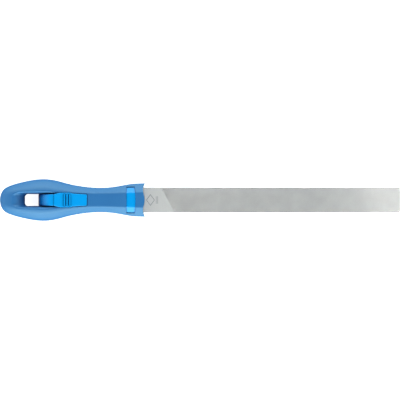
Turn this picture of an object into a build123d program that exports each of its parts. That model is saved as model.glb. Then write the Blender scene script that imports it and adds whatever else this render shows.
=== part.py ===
"""A flat file in a two-material moulded handle, in millimetres.

The tool lies along X with its tip at +X. The blade's two faces look along +Z and -Z, and
its edges look along +Y and -Y. Lengths are measured from the butt of the handle, and
each solid is moved to the frame, whose origin is the middle of the tool, as it is
written.
"""
import os
from math import radians, tan

from build123d import *

# The file: a hand file of 200 mm nominal length, parallel in width.
TOTAL_LENGTH = 320.0
BLADE_WIDTH = 20.0
BLADE_THICKNESS = 5.0
TIP_THICKNESS = 4.2     # the faces curve in a little towards the tip
BELLY_START = 235.0     # where that curve begins
TIP_CHAMFER = 0.8       # at the tip's four plan corners
CUT_START = 134.4       # where the teeth begin, on the centreline
CUT_SLANT = 30.0        # degrees from square, of the line across the face where they begin
HEEL_RELIEF = 0.1       # how far the uncut heel lies under the teeth's crests
HEEL_START = 110.0      # where the blade's shoulders stand on the core
SHOULDER_LENGTH = 4.0
SHOULDER_ROOT = 5.25    # half the width where the shoulders start, just outside the tang
TANG_LENGTH = 58.0
TANG_ROOT = (8.5, 5.0)  # width and thickness
TANG_END = (4.0, 3.0)

# The handle, from the butt (0) to the lip round the blade.
HANDLE_LENGTH = 116.0
SKIN = 2.3              # the grip's thickness over the core
CORE_START = 4.0        # first station of the core
MOUTH_GAP = 0.5         # between the blade's heel and the mouth it stands in
EDGE_ROUNDING = 0.5     # on the moulded edges of the nose, the tongue and the windows

# Cross-sections: distance from the butt, half width, half height, half width of the flat on
# the top and the bottom, corner rounding.
STATIONS = [
    (0.0, 1.8, 1.5, 1.0, 0.8),
    (0.8, 4.8, 3.9, 2.6, 2.4),
    (2.0, 7.2, 5.8, 3.9, 3.8),
    (4.0, 9.3, 7.5, 5.0, 5.0),
    (8.0, 11.4, 9.3, 6.2, 6.2),
    (16.0, 13.8, 11.3, 7.4, 7.8),
    (26.0, 15.9, 12.8, 8.5, 9.0),
    (36.0, 16.65, 13.3, 8.8, 9.4),
    (45.0, 15.5, 12.6, 8.2, 8.4),
    (54.0, 13.1, 11.0, 7.0, 6.2),
    (64.0, 11.1, 9.5, 6.0, 4.0),
    (77.0, 9.8, 8.6, 5.4, 2.4),
    (90.0, 10.3, 8.8, 5.5, 2.2),
    (99.0, 11.8, 9.6, 5.7, 2.2),
    (107.0, 13.0, 10.4, 5.9, 2.2),
    (117.0, 13.5, 10.9, 6.3, 2.0),
]
SIDE_SHARE = 0.42       # of the half height, that the upright side takes
INSET_SHARE = 0.45      # of an inset, that the flats' half width and the rounding lose
LEAST_ROUNDING = 0.3
TALL = 40.0             # a height that passes right through the handle
OVERLAP = 1.0           # how far a shape runs on into, or past, the one that it joins or cuts

# The front edge of the lip in plan, from the centreline out: it waves round the blade.
LIP_WAVE = [(115.75, 0.0), (114.5, 8.8), (116.2, 13.8)]

# The hanging eye: a flared slot through the handle. A rounded bar of the grip closes it
# behind, and the core's rounded nose stands in its front end.
EYE_HALF_WIDTH = 4.7    # at the middle of the handle's height
EYE_THROAT = 2.5        # half the height over which the walls stand upright
EYE_FLARE = 0.15        # the walls' slope outwards from there
EYE_PLAN = (28.0, 32.6, 6.4)    # centre, half length and half width of its plan's ellipse
EYE_CORNER = 2.5        # rounding of the two corners behind
EYE_RIM = 1.2           # rounding of the rim
EYE_RIM_REACH = 8.5     # the rim lies within this of the centreline, and above this height
EYE_FRONT = 48.5
REAR_BAR = (9.5, 10.5, 10.0)    # centre, half length and half height of its ellipse
NOSE = (44.0, 13.2, 12.6)       # the same for the core's rounded nose

# The core's tongue, which shows on the top and the bottom, as half of its plan outline.
TONGUE = [(44.0, 4.7), (49.0, 5.9), (57.0, 5.9), (58.4, 5.25), (70.0, 4.5)]
TONGUE_FOOT = 6.0       # the height from which it stands out of the core
TONGUE_RISE = 0.35      # above the grip
TONGUE_GAP = 0.45       # the groove round it
TONGUE_CORNER = 0.8
TONGUE_RIM_HEIGHT = 8.4     # its upper edges lie above this height
TONGUE_RIM_LENGTH = 20.0    # and each of them is shorter than this
STEEP = 0.8             # an edge that climbs more than this isn't one of them
RIBS = 3
RIB_START = 51.6
RIB_PITCH = 2.2
RIB_WIDTH = 1.1
RIB_LENGTH = 9.6
RIB_RISE = 0.5          # above the tongue

# The window near the front, where the core shows as a band, on the top and the bottom.
BAND_START = 101.3
BAND_END = 107.7
BAND_BULGE = 1.2        # how far its front edge bows forward
BAND_HALF_WIDTH = 10.6
BAND_DEPTH = 0.6        # below the grip
BAND_RIM_HEIGHT = 3.0   # the window's rims lie above this height


def section(distance, half_width, half_height, flat, rounding):
    """The handle's eight-sided cross-section, with rounded corners, square to its length."""
    quarter = [(half_width, SIDE_SHARE * half_height), (flat, half_height)]
    half = quarter + [(-y, z) for y, z in reversed(quarter)]
    outline = Polygon(*half, *[(-y, -z) for y, z in half], align=None)
    across = Plane(origin=(distance, 0, 0), x_dir=(0, 1, 0), z_dir=(1, 0, 0))
    return across * fillet(outline.vertices(), rounding)


def handle_form(inset=0.0, start=0.0):
    """The handle's outer shape, or the shape that lies a given depth under it."""
    loss = INSET_SHARE * inset
    cuts = [
        section(x, width - inset, height - inset, flat - loss, max(rounding - loss, LEAST_ROUNDING))
        for x, width, height, flat, rounding in STATIONS
        if x >= start
    ]
    return loft(cuts)


def block(x0, x1, half_width, z0, z1):
    """A box by its limits, centred across the width."""
    shape = Box(x1 - x0, 2 * half_width, z1 - z0, align=(Align.MIN, Align.CENTER, Align.MIN))
    return Pos(x0, 0, z0) * shape


def slab(x0, x1, half_width):
    """A box that passes right through the handle's height."""
    return block(x0, x1, half_width, -TALL / 2, TALL / 2)


def prism(face):
    """A plan outline carried right through the handle's height."""
    return extrude(face, TALL / 2, both=True)


def beyond(shape, height):
    """What of a shape lies further than a height above and below the middle."""
    return shape - block(0, HANDLE_LENGTH, TALL, -height, height)


def rim(shape, x0, x1, half_width, height):
    """The edges across a stretch of a shape's top and bottom, within limits."""
    return [
        edge
        for edge in shape.edges()
        if x0 < edge.center().X < x1
        and abs(edge.center().Y) < half_width
        and abs(edge.center().Z) > height
    ]


def mirrored_outline(half):
    """A closed face in plan from the points of its upper half."""
    return Polygon(*half, *[(x, -y) for x, y in reversed(half)], align=None)


def front_trim():
    """What is cut off in front of the lip's wavy edge."""
    wave = [(x, -y) for x, y in reversed(LIP_WAVE[1:])] + LIP_WAVE
    edge = Spline(*wave)
    ahead = HANDLE_LENGTH + 10
    around = Polyline(wave[-1], (ahead, wave[-1][1]), (ahead, wave[0][1]), wave[0])
    return prism(make_face([edge, around]))


def eye_void(skin=0.0):
    """The flared slot through the grip, or that slot with a skin of material round it."""
    centre, length, height = REAR_BAR
    front = EYE_FRONT + skin
    gap = Pos((centre + front) / 2, 0) * Rectangle(front - centre, TALL)
    gap -= Pos(centre, 0) * Ellipse(length - skin, height - skin)
    half, top = EYE_HALF_WIDTH + skin, TALL / 2
    wide = half + EYE_FLARE * (top - EYE_THROAT)
    right = [(wide, -top), (half, -EYE_THROAT), (half, EYE_THROAT), (wide, top)]
    walls = Polygon(*right, *[(-y, z) for y, z in reversed(right)], align=None)
    void = extrude(Plane.XZ * gap, TALL / 2, both=True)
    void &= extrude(Plane.YZ * walls, HANDLE_LENGTH, both=True)
    middle, plan_length, plan_width = EYE_PLAN
    void &= prism(Pos(middle, 0) * Ellipse(plan_length + skin, plan_width + skin))
    return void if skin else fillet(void.edges().filter_by(GeomType.BSPLINE), EYE_CORNER)


def nose():
    """The block of the core that fills the slot's throat in front, rounded off behind."""
    centre, length, height = NOSE
    root = EYE_FRONT + SKIN + OVERLAP
    profile = Pos(centre, 0) * Ellipse(length, height)
    profile += Pos((centre + root) / 2, 0) * Rectangle(root - centre, TALL)
    profile &= Pos(root / 2, 0) * Rectangle(root, TALL)
    bar = extrude(Plane.XZ * profile, EYE_HALF_WIDTH, both=True)
    return fillet(bar.edges().filter_by(GeomType.ELLIPSE), EDGE_ROUNDING)


def tongue_outline(gap=0.0):
    """The tongue's plan outline, or the wider hole in the grip round it."""
    half = [(x, y + gap) for x, y in TONGUE[:-1]]
    half.append((TONGUE[-1][0] + gap, TONGUE[-1][1] + gap))
    outline = mirrored_outline(half)
    corners = outline.vertices().sort_by(Axis.X)[-2:]
    return fillet(corners, TONGUE_CORNER + gap)


def tongue():
    """The core's raised tongue and its ribs, on the top and the bottom."""
    ribs = Part() + [
        Pos(number * RIB_PITCH, 0, 0) * slab(RIB_START, RIB_START + RIB_WIDTH, RIB_LENGTH / 2)
        for number in range(RIBS)
    ]
    plate = beyond(handle_form(-TONGUE_RISE) & prism(tongue_outline()), TONGUE_FOOT)
    back, front = TONGUE[0][0] + OVERLAP, TONGUE[-1][0] + OVERLAP
    upper_edges = [
        edge
        for edge in rim(plate, back, front, TALL, TONGUE_RIM_HEIGHT)
        if edge.length < TONGUE_RIM_LENGTH and abs(edge.tangent_at(0.5).Z) < STEEP
    ]
    plate = fillet(upper_edges, EDGE_ROUNDING)
    return plate + beyond(handle_form(-TONGUE_RISE - RIB_RISE) & ribs, TONGUE_FOOT)


def band_outline():
    """The front window's plan outline, with its front edge bowed forward."""
    bow = ThreePointArc(
        (BAND_END, BAND_HALF_WIDTH), (BAND_END + BAND_BULGE, 0), (BAND_END, -BAND_HALF_WIDTH)
    )
    back = Polyline(
        (BAND_END, -BAND_HALF_WIDTH),
        (BAND_START, -BAND_HALF_WIDTH),
        (BAND_START, BAND_HALF_WIDTH),
        (BAND_END, BAND_HALF_WIDTH),
    )
    return make_face([bow, back])


def blade():
    """The blade and its tang, forged as one."""
    half_width, half_thickness = BLADE_WIDTH / 2, BLADE_THICKNESS / 2
    plan = mirrored_outline(
        [
            (HEEL_START, SHOULDER_ROOT),
            (HEEL_START + SHOULDER_LENGTH, half_width),
            (TOTAL_LENGTH - TIP_CHAMFER, half_width),
            (TOTAL_LENGTH, half_width - TIP_CHAMFER),
        ]
    )
    tip = TIP_THICKNESS / 2
    middle = (BELLY_START + TOTAL_LENGTH) / 2
    sag = (half_thickness - tip) / 4
    upper = [
        Line((HEEL_START, half_thickness), (BELLY_START, half_thickness)),
        ThreePointArc(
            (BELLY_START, half_thickness), (middle, half_thickness - sag), (TOTAL_LENGTH, tip)
        ),
    ]
    lower = [mirror(edge, Plane.XZ) for edge in upper]
    ends = [
        Line((TOTAL_LENGTH, tip), (TOTAL_LENGTH, -tip)),
        Line((HEEL_START, -half_thickness), (HEEL_START, half_thickness)),
    ]
    side = Plane.XZ * make_face([*upper, *lower, *ends])
    body = extrude(plan, half_thickness, both=True) & extrude(side, BLADE_WIDTH, both=True)
    relief = heel_relief()
    return body - relief - relief.rotate(Axis.X, 180) + tang()


def heel_relief():
    """What is ground off the upper face behind the teeth."""
    lean = BLADE_WIDTH * tan(radians(CUT_SLANT))
    outline = Polygon(
        (HEEL_START - OVERLAP, -BLADE_WIDTH),
        (CUT_START + lean, -BLADE_WIDTH),
        (CUT_START - lean, BLADE_WIDTH),
        (HEEL_START - OVERLAP, BLADE_WIDTH),
        align=None,
    )
    return Pos(0, 0, BLADE_THICKNESS / 2 - HEEL_RELIEF) * extrude(outline, BLADE_THICKNESS)


def tang():
    """The tapered tang, which is also the shape of the socket that takes it."""
    root_face = Plane.YZ.offset(HEEL_START) * Rectangle(*TANG_ROOT)
    end_face = Plane.YZ.offset(HEEL_START - TANG_LENGTH) * Rectangle(*TANG_END)
    return loft([end_face, root_face])


def handle():
    """The core and the grip moulded over it."""
    form = handle_form()
    core = handle_form(SKIN, CORE_START) & slab(0, HEEL_START, TALL)
    core -= eye_void(SKIN)
    core += nose() & form
    core += tongue()
    core += handle_form(BAND_DEPTH) & prism(band_outline())
    mouth = block(
        HEEL_START,
        HANDLE_LENGTH + OVERLAP,
        BLADE_WIDTH / 2 + MOUTH_GAP,
        -BLADE_THICKNESS / 2 - MOUTH_GAP,
        BLADE_THICKNESS / 2 + MOUTH_GAP,
    )
    grip = form - front_trim() - eye_void()
    eye_edges = rim(grip, REAR_BAR[0] - OVERLAP, EYE_FRONT - 0.1, EYE_RIM_REACH, EYE_RIM_REACH)
    grip = fillet(eye_edges, EYE_RIM)
    grip -= prism(band_outline())
    back, front = BAND_START - OVERLAP, BAND_END + OVERLAP
    band_edges = rim(grip, back, front, BAND_HALF_WIDTH - 0.3, BAND_RIM_HEIGHT)
    grip = fillet(band_edges, EDGE_ROUNDING)
    grip -= beyond(prism(tongue_outline(TONGUE_GAP)), TONGUE_FOOT)
    grip -= mouth + core
    return core - tang(), grip


if __name__ == "__main__":
    handle_core, soft_grip = handle()
    solids = {"file_blade": blade(), "handle_core": handle_core, "soft_grip": soft_grip}
    os.makedirs("parts", exist_ok=True)
    for name, solid in solids.items():
        export_step(Pos(-TOTAL_LENGTH / 2, 0, 0) * solid, f"parts/{name}.step")
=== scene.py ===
"""A flat file with a two-material moulded handle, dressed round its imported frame.

Everything is in metres in the frame's own axes: the tool lies along X with its tip at +X,
the blade's faces look along +Z and -Z, and the origin is the middle of the tool.
"""
from math import cos, pi, radians, sin, tan

import bmesh
import bpy
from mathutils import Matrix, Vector


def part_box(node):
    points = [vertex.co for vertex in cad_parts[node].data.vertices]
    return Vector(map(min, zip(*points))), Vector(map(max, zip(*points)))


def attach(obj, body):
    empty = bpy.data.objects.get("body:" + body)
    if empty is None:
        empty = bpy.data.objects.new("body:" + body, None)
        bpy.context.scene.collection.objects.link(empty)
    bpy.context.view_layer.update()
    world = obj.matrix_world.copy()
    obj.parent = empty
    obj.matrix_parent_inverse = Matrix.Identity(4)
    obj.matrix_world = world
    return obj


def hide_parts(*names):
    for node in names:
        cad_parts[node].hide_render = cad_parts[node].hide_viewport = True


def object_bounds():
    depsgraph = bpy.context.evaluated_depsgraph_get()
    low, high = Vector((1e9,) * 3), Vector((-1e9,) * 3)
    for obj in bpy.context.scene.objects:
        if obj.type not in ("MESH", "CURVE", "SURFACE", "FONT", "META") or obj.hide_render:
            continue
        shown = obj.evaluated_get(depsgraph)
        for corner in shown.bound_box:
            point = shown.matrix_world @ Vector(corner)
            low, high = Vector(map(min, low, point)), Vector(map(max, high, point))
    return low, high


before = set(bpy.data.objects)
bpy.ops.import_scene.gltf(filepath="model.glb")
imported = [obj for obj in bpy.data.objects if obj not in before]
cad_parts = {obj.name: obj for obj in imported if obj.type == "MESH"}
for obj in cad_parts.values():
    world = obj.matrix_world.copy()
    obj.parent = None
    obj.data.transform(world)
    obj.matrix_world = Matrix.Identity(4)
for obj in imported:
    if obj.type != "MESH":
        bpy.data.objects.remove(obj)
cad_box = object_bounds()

MM = 0.001
NEAR = 0.1 * MM                 # a point this close to a plane counts as on it

# The blade, whose width, thickness and tip come from the frame.
TIP_X, HALF_WIDTH, HALF_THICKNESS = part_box("file_blade")[1]
BUTT_X = cad_box[0].x
SHOULDER_X = BUTT_X + 110 * MM
SHOULDER_LENGTH = 4 * MM
SHOULDER_ROOT = 10.5 * MM       # the shoulders' width where they start
TANG_ROOT = (8.5 * MM, 4.8 * MM)
TANG_END = (4 * MM, 3 * MM)
TANG_LENGTH = 57.9 * MM
CUT_X = BUTT_X + 134.4 * MM     # where the teeth begin, on the centreline
CUT_SLANT = radians(30)         # of the line across the face where they begin
GROUND = 0.1 * MM               # how far the ground heel lies under the teeth's crests
BAR_DEPTH = 0.45 * MM           # how far the bar lies under them
TIP_CHAMFER = 0.8 * MM
EDGE_CHAMFER = 0.3 * MM
BELLY_LENGTH = 85 * MM          # over which the faces curve in towards the tip
BELLY_SCALE = 0.84              # what is left of the thickness there
BELLY_STEPS = 17

# The teeth. They are drawn at 0.8 mm, which is coarser than a medium cut's, so that the
# furrows still show from an arm's length.
UPCUT_SPACING = 0.80 * MM       # from tooth to tooth along a row
OVERCUT_ANGLE = radians(40)     # of the crossing cut, from square
STAGGER = 0.015 * MM            # each row starts this much lower, so no tooth follows another
TOOTH_RIM = 0.2 * MM            # the sloping ground round a tooth's crest
TOOTH_LEAN = 0.13 * MM          # how far a crest leans towards the tip
TOOTH_RISE = 0.28 * MM
TEETH_MARGIN = 0.2 * MM         # between the teeth and the blade's long edges
ROWS_ABOVE = 3 * MM             # spare teeth past the edge, for the stagger
SPARE_TEETH = 3                 # past the far end of a row, before the edges are cut to size
SPARE_ROWS = 2                  # past the tip
EDGE_PITCH = 0.9 * MM           # of the single cut on the narrow edge at -Y
EDGE_LEAN = 0.35 * MM           # how far that cut slants over the edge's height
EDGE_RISE = 0.18 * MM

# The mark etched on the heel: a plain diamond, and two bars in front of it.
MARK_X = BUTT_X + 120.4 * MM
MARK_SIZE = 6.6 * MM            # the diamond's side
MARK_WIDTH = 0.75               # its length along the blade, as a share of its height
MARK_LINE = 0.55 * MM
MARK_FILM = 0.01 * MM           # how far the oxide stands on the ground face
BAR_GAP = 4.6 * MM              # from the diamond's middle to the first bar
BAR_STEP = 1.2 * MM
BAR_SIZE = (0.4 * MM, 6 * MM)

# The studio, in metres, watts and degrees.
TABLE_SIZE = 4.0
TABLE_GAP = 0.2 * MM            # between the table and the lowest point of the tool
SIDE_DISTANCE = 0.9             # of the two softboxes, from the tool's middle
SIDE_HEIGHT = 0.26
SIDE_SIZE = (1.6, 0.4)
SIDE_TINT = "#FAFFEA"
KEY_POWER = 11
FILL_POWER = 6.5
GRID_HEIGHT = 0.5               # of the two gridded lights over the blade
GRID_SPREAD = 14
GRID_TINT = "#FFFAF2"
GRIDDED = [                     # name, place along the tool, size, power
    ("blade_light", 0.1, (0.6, 0.3), 0.48),
    ("tip_light", 0.2, (0.1, 0.3), 0.14),
]
LENS = 200.0                    # focal length in millimetres


# ---------------------------------------------------------------- materials

def linear(hex_colour):
    """An sRGB hex colour, as the linear colour that a shader wants."""
    parts = [int(hex_colour[i:i + 2], 16) / 255 for i in (1, 3, 5)]
    return tuple(p / 12.92 if p <= 0.04045 else ((p + 0.055) / 1.055) ** 2.4 for p in parts) + (1,)


def add_node(tree, kind, settings=None, **links):
    """Adds a node: settings fill its properties, and links its inputs, with values or sockets."""
    node = tree.nodes.new(kind)
    for name, value in (settings or {}).items():
        setattr(node, name, value)
    for name, value in links.items():
        numbered = name[0] == "_"
        socket = node.inputs[int(name[1:])] if numbered else node.inputs[name.replace("_", " ")]
        if isinstance(value, bpy.types.NodeSocket):
            tree.links.new(value, socket)
        else:
            socket.default_value = value
    return node


def new_material(name, roughness, metallic=0.0, ior=1.5):
    """An empty material: gives it, its tree, its shader and the place on the object."""
    material = bpy.data.materials.new(name)
    material.use_nodes = True
    tree = material.node_tree
    shader = tree.nodes["Principled BSDF"]
    shader.inputs["Roughness"].default_value = roughness
    shader.inputs["Metallic"].default_value = metallic
    shader.inputs["IOR"].default_value = ior
    return material, tree, shader, add_node(tree, "ShaderNodeTexCoord").outputs["Object"]


def tone(tree, factor, dark, light):
    """A colour between two, by a factor. Each is a hex colour or a socket."""
    dark, light = (linear(end) if isinstance(end, str) else end for end in (dark, light))
    mix = add_node(tree, "ShaderNodeMix", {"data_type": "RGBA"}, _0=factor, _6=dark, _7=light)
    return mix.outputs[2]


def soft_touch_elastomer():
    """Thermoplastic elastomer, moulded against a fine spark-eroded tool: a dull, dense blue
    skin whose fine grain spreads the light into a broad, pale gloss, with painted shade darkening
    its colour in its creases. The gloss is twice a plain plastic's and a little green, to match
    the pale flanks."""
    material, tree, shader, place = new_material("soft_touch_elastomer", 0.55)
    grain = add_node(tree, "ShaderNodeTexNoise", Vector=place, Scale=1 / (0.5 * MM), Detail=2.0)
    cloud = add_node(tree, "ShaderNodeTexNoise", Vector=place, Scale=1 / (22 * MM), Detail=3.0)
    skin = tone(tree, cloud.outputs["Fac"], "#1E6CB0", "#2676BA")
    # painted shade: ambient occlusion turns the skin's colour a darker blue in its creases
    crease_occlusion = add_node(tree, "ShaderNodeAmbientOcclusion", {"samples": 8}, Distance=1.5 * MM)
    painted_shade_mix = add_node(tree, "ShaderNodeMapRange", Value=crease_occlusion.outputs["AO"],
                        From_Min=0.3, From_Max=0.8)
    bump = add_node(tree, "ShaderNodeBump", Strength=0.25, Distance=0.05 * MM,
                    Height=grain.outputs["Fac"])
    shader.inputs["Specular IOR Level"].default_value = 1.0
    shader.inputs["Specular Tint"].default_value = linear("#DCFFEC")
    shader.inputs["Sheen Weight"].default_value = 0.15
    shader.inputs["Sheen Roughness"].default_value = 0.4
    shader.inputs["Sheen Tint"].default_value = linear("#C4F6E6")
    # painted shade: the base colour runs to the dark #1B5594 where the occlusion is low
    tree.links.new(tone(tree, painted_shade_mix.outputs[0], "#1B5594", skin), shader.inputs["Base Color"])
    tree.links.new(bump.outputs["Normal"], shader.inputs["Normal"])
    return material


def moulded_polypropylene():
    """Polypropylene, injection moulded and left as it comes from a semi-polished tool: a clear
    azure with a soft gloss, with painted shade turning it navy where it goes down into the handle."""
    material, tree, shader, place = new_material("moulded_polypropylene", 0.34, ior=1.49)
    shader.inputs["Specular IOR Level"].default_value = 0.35
    ripple = add_node(tree, "ShaderNodeTexNoise", Vector=place, Scale=1 / (3 * MM), Detail=2.0)
    # painted shade: ambient occlusion darkens the azure to navy deep in the slot and in the
    # recesses
    crease_occlusion = add_node(tree, "ShaderNodeAmbientOcclusion", {"samples": 8}, Distance=9 * MM)
    painted_shade_mix = add_node(tree, "ShaderNodeMapRange", Value=crease_occlusion.outputs["AO"],
                        From_Min=0.65, From_Max=0.92)
    bump = add_node(tree, "ShaderNodeBump", Strength=0.15, Distance=0.05 * MM,
                    Height=ripple.outputs["Fac"])
    # painted shade: the dark end of this mix is shade painted in by the occlusion
    azure_with_painted_shade = tone(tree, painted_shade_mix.outputs[0], "#00206C", "#00A6F8")
    tree.links.new(azure_with_painted_shade, shader.inputs["Base Color"])
    tree.links.new(bump.outputs["Normal"], shader.inputs["Normal"])
    return material


def ground_steel():
    """Hardened file steel, surface ground: a pale, dull grey, with fine marks across it."""
    material, tree, shader, place = new_material("ground_steel", 0.78, metallic=1.0)
    stretch = add_node(tree, "ShaderNodeMapping", Vector=place,
                       Scale=(1 / (0.3 * MM), 1 / (9 * MM), 1))
    marks = add_node(tree, "ShaderNodeTexNoise", Vector=stretch.outputs[0], Scale=1.0, Detail=3.0)
    bump = add_node(tree, "ShaderNodeBump", Strength=0.2, Distance=0.02 * MM,
                    Height=marks.outputs["Fac"])
    grey = tone(tree, marks.outputs["Fac"], "#A9AAAB", "#B4B5B6")
    tree.links.new(grey, shader.inputs["Base Color"])
    tree.links.new(bump.outputs["Normal"], shader.inputs["Normal"])
    return material


def cut_steel():
    """Hardened file steel as the chisel and the quench leave it: darker than the ground heel, and
    nearly even, with faint clouds where the scale was blasted off."""
    material, tree, shader, place = new_material("cut_steel", 0.55, metallic=1.0)
    cloud = add_node(tree, "ShaderNodeTexNoise", Vector=place, Scale=1 / (9 * MM), Detail=4.0)
    grey = tone(tree, cloud.outputs["Fac"], "#9E9FA0", "#B0B1B2")
    tree.links.new(grey, shader.inputs["Base Color"])
    return material


def etched_oxide():
    """The dark oxide that electrolytic etching leaves in the ground steel."""
    material, tree, shader, place = new_material("etched_oxide", 0.6, metallic=1.0)
    fleck = add_node(tree, "ShaderNodeTexNoise", Vector=place, Scale=1 / (0.4 * MM), Detail=2.0)
    grey = tone(tree, fleck.outputs["Fac"], "#4A4D52", "#7C7F84")
    tree.links.new(grey, shader.inputs["Base Color"])
    return material


def dress(node, material):
    """Gives a carried-over part its finish."""
    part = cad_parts[node]
    part.data.materials.clear()
    part.data.materials.append(material)


# ---------------------------------------------------------------- modelling by hand

def begin(name, add, place, extent):
    """Adds a primitive at its size and place, with nothing else selected, and opens it for
    editing. The helpers below work on the piece that is open."""
    bpy.ops.object.select_all(action="DESELECT")
    add(size=1, location=place)
    piece = bpy.context.object
    piece.name = piece.data.name = name
    piece.scale = extent
    bpy.ops.object.transform_apply(location=True, rotation=True, scale=True)
    bpy.ops.object.mode_set(mode="EDIT")
    return piece


def select(piece, kind, wanted):
    """Selects the open piece's VERT, EDGE or FACE elements whose middle passes a test."""
    bpy.ops.mesh.select_mode(type=kind)
    bpy.ops.mesh.select_all(action="DESELECT")
    shape = bmesh.from_edit_mesh(piece.data)
    for element in {"VERT": shape.verts, "EDGE": shape.edges, "FACE": shape.faces}[kind]:
        if kind == "VERT":
            chosen = wanted(element.co)
        else:
            corners = [corner.co for corner in element.verts]
            chosen = wanted(sum(corners, Vector()) / len(corners))
        element.select_set(chosen)
    shape.select_flush_mode()
    bmesh.update_edit_mesh(piece.data)


def shift(piece, wanted, offset):
    """Moves the vertices that pass a test."""
    select(piece, "VERT", wanted)
    bpy.ops.transform.translate(value=offset)


def cut_off(point, direction):
    """Cuts the open piece with a plane and drops what lies beyond it."""
    bpy.ops.mesh.select_all(action="SELECT")
    bpy.ops.mesh.bisect(plane_co=point, plane_no=direction, clear_outer=True)


def close_up():
    """Turns the open piece's faces outwards and ends its editing."""
    bpy.ops.mesh.select_all(action="SELECT")
    bpy.ops.mesh.normals_make_consistent(inside=False)
    bpy.ops.object.mode_set(mode="OBJECT")


def repeat(piece, count, step):
    """Repeats a piece by a constant step, joined where the copies meet."""
    array = piece.modifiers.new("repeat", "ARRAY")
    array.count = count
    array.use_relative_offset = False
    array.use_constant_offset = True
    array.constant_offset_displace = step
    array.use_merge_vertices = True
    array.merge_threshold = 0.005 * MM
    bpy.ops.object.modifier_apply(modifier=array.name)


def slanted_start(piece, x):
    """Slants the blade's cross face at x, to lie along the first row of teeth."""
    lean = HALF_WIDTH * tan(CUT_SLANT)
    shift(piece, lambda co: abs(co.x - x) < NEAR and co.y > 0, (-lean, 0, 0))
    shift(piece, lambda co: abs(co.x - x) < NEAR and co.y < 0, (lean, 0, 0))


def heel():
    """The ground heel, its shoulders and the tang, drawn out of one block."""
    height = 2 * (HALF_THICKNESS - GROUND)
    back = SHOULDER_X + SHOULDER_LENGTH
    piece = begin("heel", bpy.ops.mesh.primitive_cube_add, place=((CUT_X + back) / 2, 0, 0),
                  extent=(CUT_X - back, 2 * HALF_WIDTH, height))
    slanted_start(piece, CUT_X)
    side, top = HALF_WIDTH - NEAR, height / 2 - NEAR
    select(piece, "EDGE", lambda co: abs(co.y) > side and abs(co.z) > top)
    bpy.ops.mesh.bevel(offset=EDGE_CHAMFER, segments=2, affect="EDGES")
    outlines = [
        (SHOULDER_LENGTH, SHOULDER_ROOT / (2 * HALF_WIDTH), 1),
        (0, TANG_ROOT[0] / SHOULDER_ROOT, TANG_ROOT[1] / height),
        (TANG_LENGTH, TANG_END[0] / TANG_ROOT[0], TANG_END[1] / TANG_ROOT[1]),
    ]
    select(piece, "FACE", lambda co: abs(co.x - back) < NEAR)
    for length, width_kept, height_kept in outlines:
        bpy.ops.mesh.extrude_region_move(TRANSFORM_OT_translate={"value": (-length, 0, 0)})
        bpy.ops.transform.resize(value=(1, width_kept, height_kept), center_override=(0, 0, 0))
    close_up()
    return piece


def bar():
    """The plain bar under the teeth, with its tip's corners and its long edges taken off."""
    height = 2 * (HALF_THICKNESS - BAR_DEPTH)
    low, high = -HALF_WIDTH + TEETH_MARGIN, HALF_WIDTH
    side, top = -low - NEAR, height / 2 - NEAR
    piece = begin("bar", bpy.ops.mesh.primitive_cube_add,
                  place=((TIP_X + CUT_X) / 2, (low + high) / 2, 0),
                  extent=(TIP_X - CUT_X, high - low, height))
    slanted_start(piece, CUT_X)
    select(piece, "EDGE", lambda co: abs(co.y) > side and co.x > TIP_X - NEAR)
    bpy.ops.mesh.bevel(offset=TIP_CHAMFER, affect="EDGES")
    select(piece, "EDGE", lambda co: abs(co.y) > side and abs(co.z) > top)
    bpy.ops.mesh.bevel(offset=EDGE_CHAMFER, affect="EDGES")
    for step in range(BELLY_STEPS):
        bpy.ops.mesh.select_all(action="SELECT")
        place = TIP_X - BELLY_LENGTH * (1 - step / BELLY_STEPS)
        bpy.ops.mesh.bisect(plane_co=(place, 0, 0), plane_no=(1, 0, 0))
    close_up()
    return piece


def close_skirt(piece, axis, depth):
    """Draws a sheet's open rim in to a flat plane at a depth along an axis, and fills it."""
    bpy.ops.mesh.select_all(action="DESELECT")
    bpy.ops.mesh.select_mode(type="EDGE")
    bpy.ops.mesh.select_non_manifold(extend=False)
    bpy.ops.mesh.extrude_edges_move(TRANSFORM_OT_translate={"value": (0, 0, 0)})
    flat = [1, 1, 1]
    flat[axis] = 0
    level = [0, 0, 0]
    level[axis] = depth
    bpy.ops.transform.resize(value=flat, center_override=level)
    bpy.ops.mesh.edge_face_add()


def one_tooth(name, corners, crest):
    """One tooth: the ground between four furrows, given by its corners, with its middle drawn up
    to a crest."""
    tooth = begin(name, bpy.ops.mesh.primitive_plane_add, place=corners[0], extent=(MM, MM, 1))
    for sides, goal in zip(((-1, -1), (1, -1), (1, 1), (-1, 1)), corners):
        corner = corners[0] + Vector((*sides, 0)) * MM / 2
        shift(tooth, lambda co: (co - corner).length < NEAR / 10, goal - corner)
    bpy.ops.mesh.select_mode(type="FACE")
    bpy.ops.mesh.select_all(action="SELECT")
    bpy.ops.mesh.inset(thickness=TOOTH_RIM)
    bpy.ops.transform.translate(value=crest)
    bpy.ops.object.mode_set(mode="OBJECT")
    return tooth


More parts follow.
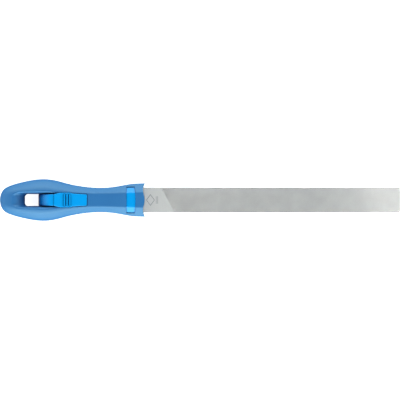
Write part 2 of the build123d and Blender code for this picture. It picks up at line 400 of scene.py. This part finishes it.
def face_teeth():
    """One face's sheet of double-cut teeth: a leaning diamond between two upcut and two overcut
    furrows, repeated along its row, and the row along the blade."""
    along_row = UPCUT_SPACING * Vector((sin(CUT_SLANT), -cos(CUT_SLANT), 0))
    reach = (-along_row.y - STAGGER) / cos(OVERCUT_ANGLE)
    across = reach * Vector((sin(OVERCUT_ANGLE), cos(OVERCUT_ANGLE), 0))
    next_row = along_row + across
    top = HALF_WIDTH + ROWS_ABOVE
    start = Vector((CUT_X - top * tan(CUT_SLANT), top, HALF_THICKNESS - TOOTH_RISE))
    corners = (start, start + along_row, start + next_row, start + across)
    tooth = one_tooth("upper_teeth", corners, crest=(TOOTH_LEAN, 0, TOOTH_RISE))

    width = 2 * HALF_WIDTH + ROWS_ABOVE
    length = TIP_X - CUT_X + 2 * HALF_WIDTH
    repeat(tooth, int(width / -along_row.y) + SPARE_TEETH, along_row)
    repeat(tooth, int(length / next_row.x) + SPARE_ROWS, next_row)

    bpy.ops.object.mode_set(mode="EDIT")
    side = HALF_WIDTH - TEETH_MARGIN
    end = TIP_X - TEETH_MARGIN
    cut_off((0, side, 0), (0, 1, 0))
    cut_off((0, -side, 0), (0, -1, 0))
    cut_off((end, 0, 0), (1, 0, 0))
    for way in (-1, 1):
        cut_off((end, way * (side - TIP_CHAMFER), 0), (1, way, 0))
    close_skirt(tooth, 2, HALF_THICKNESS - 2 * BAR_DEPTH)
    close_up()
    return tooth


def edge_teeth():
    """The single-cut teeth on the narrow edge at -Y; the edge at +Y is left safe."""
    height = HALF_THICKNESS - BAR_DEPTH - EDGE_CHAMFER
    start = Vector((CUT_X + HALF_WIDTH * tan(CUT_SLANT), -HALF_WIDTH + EDGE_RISE, -height))
    up = Vector((EDGE_LEAN, 0, 2 * height))
    pitch = Vector((EDGE_PITCH, 0, 0))
    corners = (start, start + pitch, start + pitch + up, start + up)
    tooth = one_tooth("edge_teeth", corners, crest=(TOOTH_LEAN, -EDGE_RISE, 0))
    repeat(tooth, int((TIP_X - TIP_CHAMFER - EDGE_LEAN - start.x) / EDGE_PITCH), pitch)
    bpy.ops.object.mode_set(mode="EDIT")
    close_skirt(tooth, 1, 3 * EDGE_RISE - HALF_WIDTH)
    close_up()
    return tooth


def film():
    """Gives the open piece's flat outline the oxide's thickness, and ends its editing."""
    bpy.ops.mesh.select_all(action="SELECT")
    bpy.ops.mesh.extrude_region_move(TRANSFORM_OT_translate={"value": (0, 0, MARK_FILM)})
    close_up()


def heel_mark():
    """The etched mark's diamond and bars."""
    middle = (MARK_X, 0, HALF_THICKNESS - GROUND)
    diamond = begin("etched_diamond", bpy.ops.mesh.primitive_plane_add, place=middle,
                    extent=(MARK_SIZE, MARK_SIZE, 1))
    bpy.ops.transform.rotate(value=pi / 4, orient_axis="Z", center_override=middle)
    bpy.ops.mesh.inset(thickness=MARK_LINE)
    bpy.ops.mesh.delete(type="FACE")
    bpy.ops.mesh.select_all(action="SELECT")
    bpy.ops.transform.resize(value=(MARK_WIDTH, 1, 1), center_override=middle)
    film()
    pieces = [diamond]
    for number in range(2):
        place = (MARK_X + BAR_GAP + number * BAR_STEP, 0, middle[2])
        pieces.append(begin(f"etched_bar_{number}", bpy.ops.mesh.primitive_plane_add, place=place,
                            extent=(*BAR_SIZE, 1)))
        film()
    return pieces


def other_face(piece, name):
    """The same sheet on the lower face: its own mesh, turned over about the blade's length."""
    bpy.ops.object.select_all(action="DESELECT")
    piece.select_set(True)
    bpy.context.view_layer.objects.active = piece
    bpy.ops.object.duplicate(linked=False)
    copy = bpy.context.object
    copy.name = copy.data.name = name
    copy.rotation_euler.x = pi
    bpy.ops.object.transform_apply(location=True, rotation=True, scale=True)
    return copy


def forging():
    """The whole file: its parts joined as the one forging they are, and the belly drawn in."""
    upper = face_teeth()
    ground, cut, oxide = ground_steel(), cut_steel(), etched_oxide()
    finishes = [(heel(), ground), (bar(), ground), (upper, cut), (edge_teeth(), cut),
                (other_face(upper, "lower_teeth"), cut)]
    finishes += [(mark, oxide) for mark in heel_mark()]
    bpy.ops.object.select_all(action="DESELECT")
    for piece, finish in finishes:
        piece.data.materials.clear()
        piece.data.materials.append(finish)
        piece.select_set(True)
    bpy.context.view_layer.objects.active = finishes[0][0]
    bpy.ops.object.join()
    blade = bpy.context.object
    blade.name = blade.data.name = "forged_blade"

    bpy.ops.object.mode_set(mode="EDIT")
    select(blade, "VERT", lambda co: co.x > TIP_X - 2 * TEETH_MARGIN)
    bpy.ops.transform.resize(value=(1, 1, BELLY_SCALE), center_override=(0, 0, 0),
                             use_proportional_edit=True, proportional_edit_falloff="SHARP",
                             proportional_size=BELLY_LENGTH)
    bpy.ops.object.mode_set(mode="OBJECT")
    bpy.ops.object.shade_flat()
    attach(blade, "root")
    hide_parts("file_blade")
    return blade


# ---------------------------------------------------------------- studio

def softbox(name, place, target, size, power, colour, spread=180):
    """A rectangular area light that faces a point and isn't itself seen. A grid on it narrows its
    spread, in degrees."""
    lamp = bpy.data.lights.new(name, "AREA")
    lamp.shape = "RECTANGLE"
    lamp.size, lamp.size_y = size
    lamp.energy = power
    lamp.color = linear(colour)[:3]
    lamp.spread = radians(spread)
    light = bpy.data.objects.new(name, lamp)
    bpy.context.scene.collection.objects.link(light)
    light.location = place
    light.rotation_euler = (Vector(target) - Vector(place)).to_track_quat("-Z", "Y").to_euler()
    light.visible_camera = False
    return light


def flag(light, piece):
    """Shades everything but one piece from a light, as black flags round it would."""
    lit = bpy.data.collections.new(f"{light.name}_falls_on")
    lit.objects.link(piece)
    light.light_linking.receiver_collection = lit


def table_top():
    """A pale lit table. It is kept out of the tool's gloss and throws no light up at it, so the
    tool's outline stays crisp against it."""
    bpy.ops.object.select_all(action="DESELECT")
    bpy.ops.mesh.primitive_plane_add(size=TABLE_SIZE, location=(0, 0, cad_box[0].z - TABLE_GAP))
    table = bpy.context.object
    table.name = "table_top"
    material, _, shader, _ = new_material("lit_table", 0.9)
    shader.inputs["Base Color"].default_value = linear("#F7F7F7")
    shader.inputs["Emission Color"].default_value = linear("#FFFFFF")
    shader.inputs["Emission Strength"].default_value = 0.9
    table.data.materials.append(material)
    table.visible_diffuse = table.visible_glossy = False


def studio_air():
    """The room's glow: bright above the horizon, dark overhead and dim below."""
    world = bpy.data.worlds.new("studio_air")
    bpy.context.scene.world = world
    world.use_nodes = True
    air = world.node_tree
    way = add_node(air, "ShaderNodeTexCoord").outputs["Generated"]
    height = add_node(air, "ShaderNodeSeparateXYZ", Vector=way).outputs["Z"]
    overhead = add_node(air, "ShaderNodeMapRange", {"interpolation_type": "SMOOTHSTEP"},
                        Value=height, From_Min=0.45, From_Max=0.92, To_Min=1.45, To_Max=0.03)
    below = add_node(air, "ShaderNodeMapRange", {"interpolation_type": "SMOOTHSTEP"},
                     Value=height, From_Min=-0.35, From_Max=0.1, To_Min=0.2, To_Max=1.0)
    glow = add_node(air, "ShaderNodeMath", {"operation": "MULTIPLY"},
                    _0=overhead.outputs[0], _1=below.outputs[0])
    background = air.nodes["Background"]
    air.links.new(glow.outputs[0], background.inputs["Strength"])
    background.inputs["Color"].default_value = linear("#E4F2FF")


def long_lens():
    """A long lens straight above, at the height where the tool fills its view from end to end."""
    low, high = cad_box
    lens = bpy.data.cameras.new("long_lens")
    lens.lens = LENS
    camera = bpy.data.objects.new("long_lens", lens)
    bpy.context.scene.collection.objects.link(camera)
    camera.location = (0, 0, (high.x - low.x) * lens.lens / lens.sensor_width)
    bpy.context.scene.camera = camera


def studio(blade):
    """The table under soft light from both sides, with two gridded lights that fall straight on
    the blade alone, the smaller one on its tip."""
    table_top()
    for name, side, power in (("key", -1, KEY_POWER), ("fill", 1, FILL_POWER)):
        place = (0, side * SIDE_DISTANCE, SIDE_HEIGHT)
        softbox(name, place, (0, 0, 0), SIDE_SIZE, power, SIDE_TINT)
    for name, x, size, power in GRIDDED:
        light = softbox(name, (x, 0, GRID_HEIGHT), (x, 0, 0), size, power, GRID_TINT, GRID_SPREAD)
        flag(light, blade)
    studio_air()
    long_lens()
    bpy.context.scene.view_settings.view_transform = "Standard"


dress("soft_grip", soft_touch_elastomer())
dress("handle_core", moulded_polypropylene())
studio(forging())
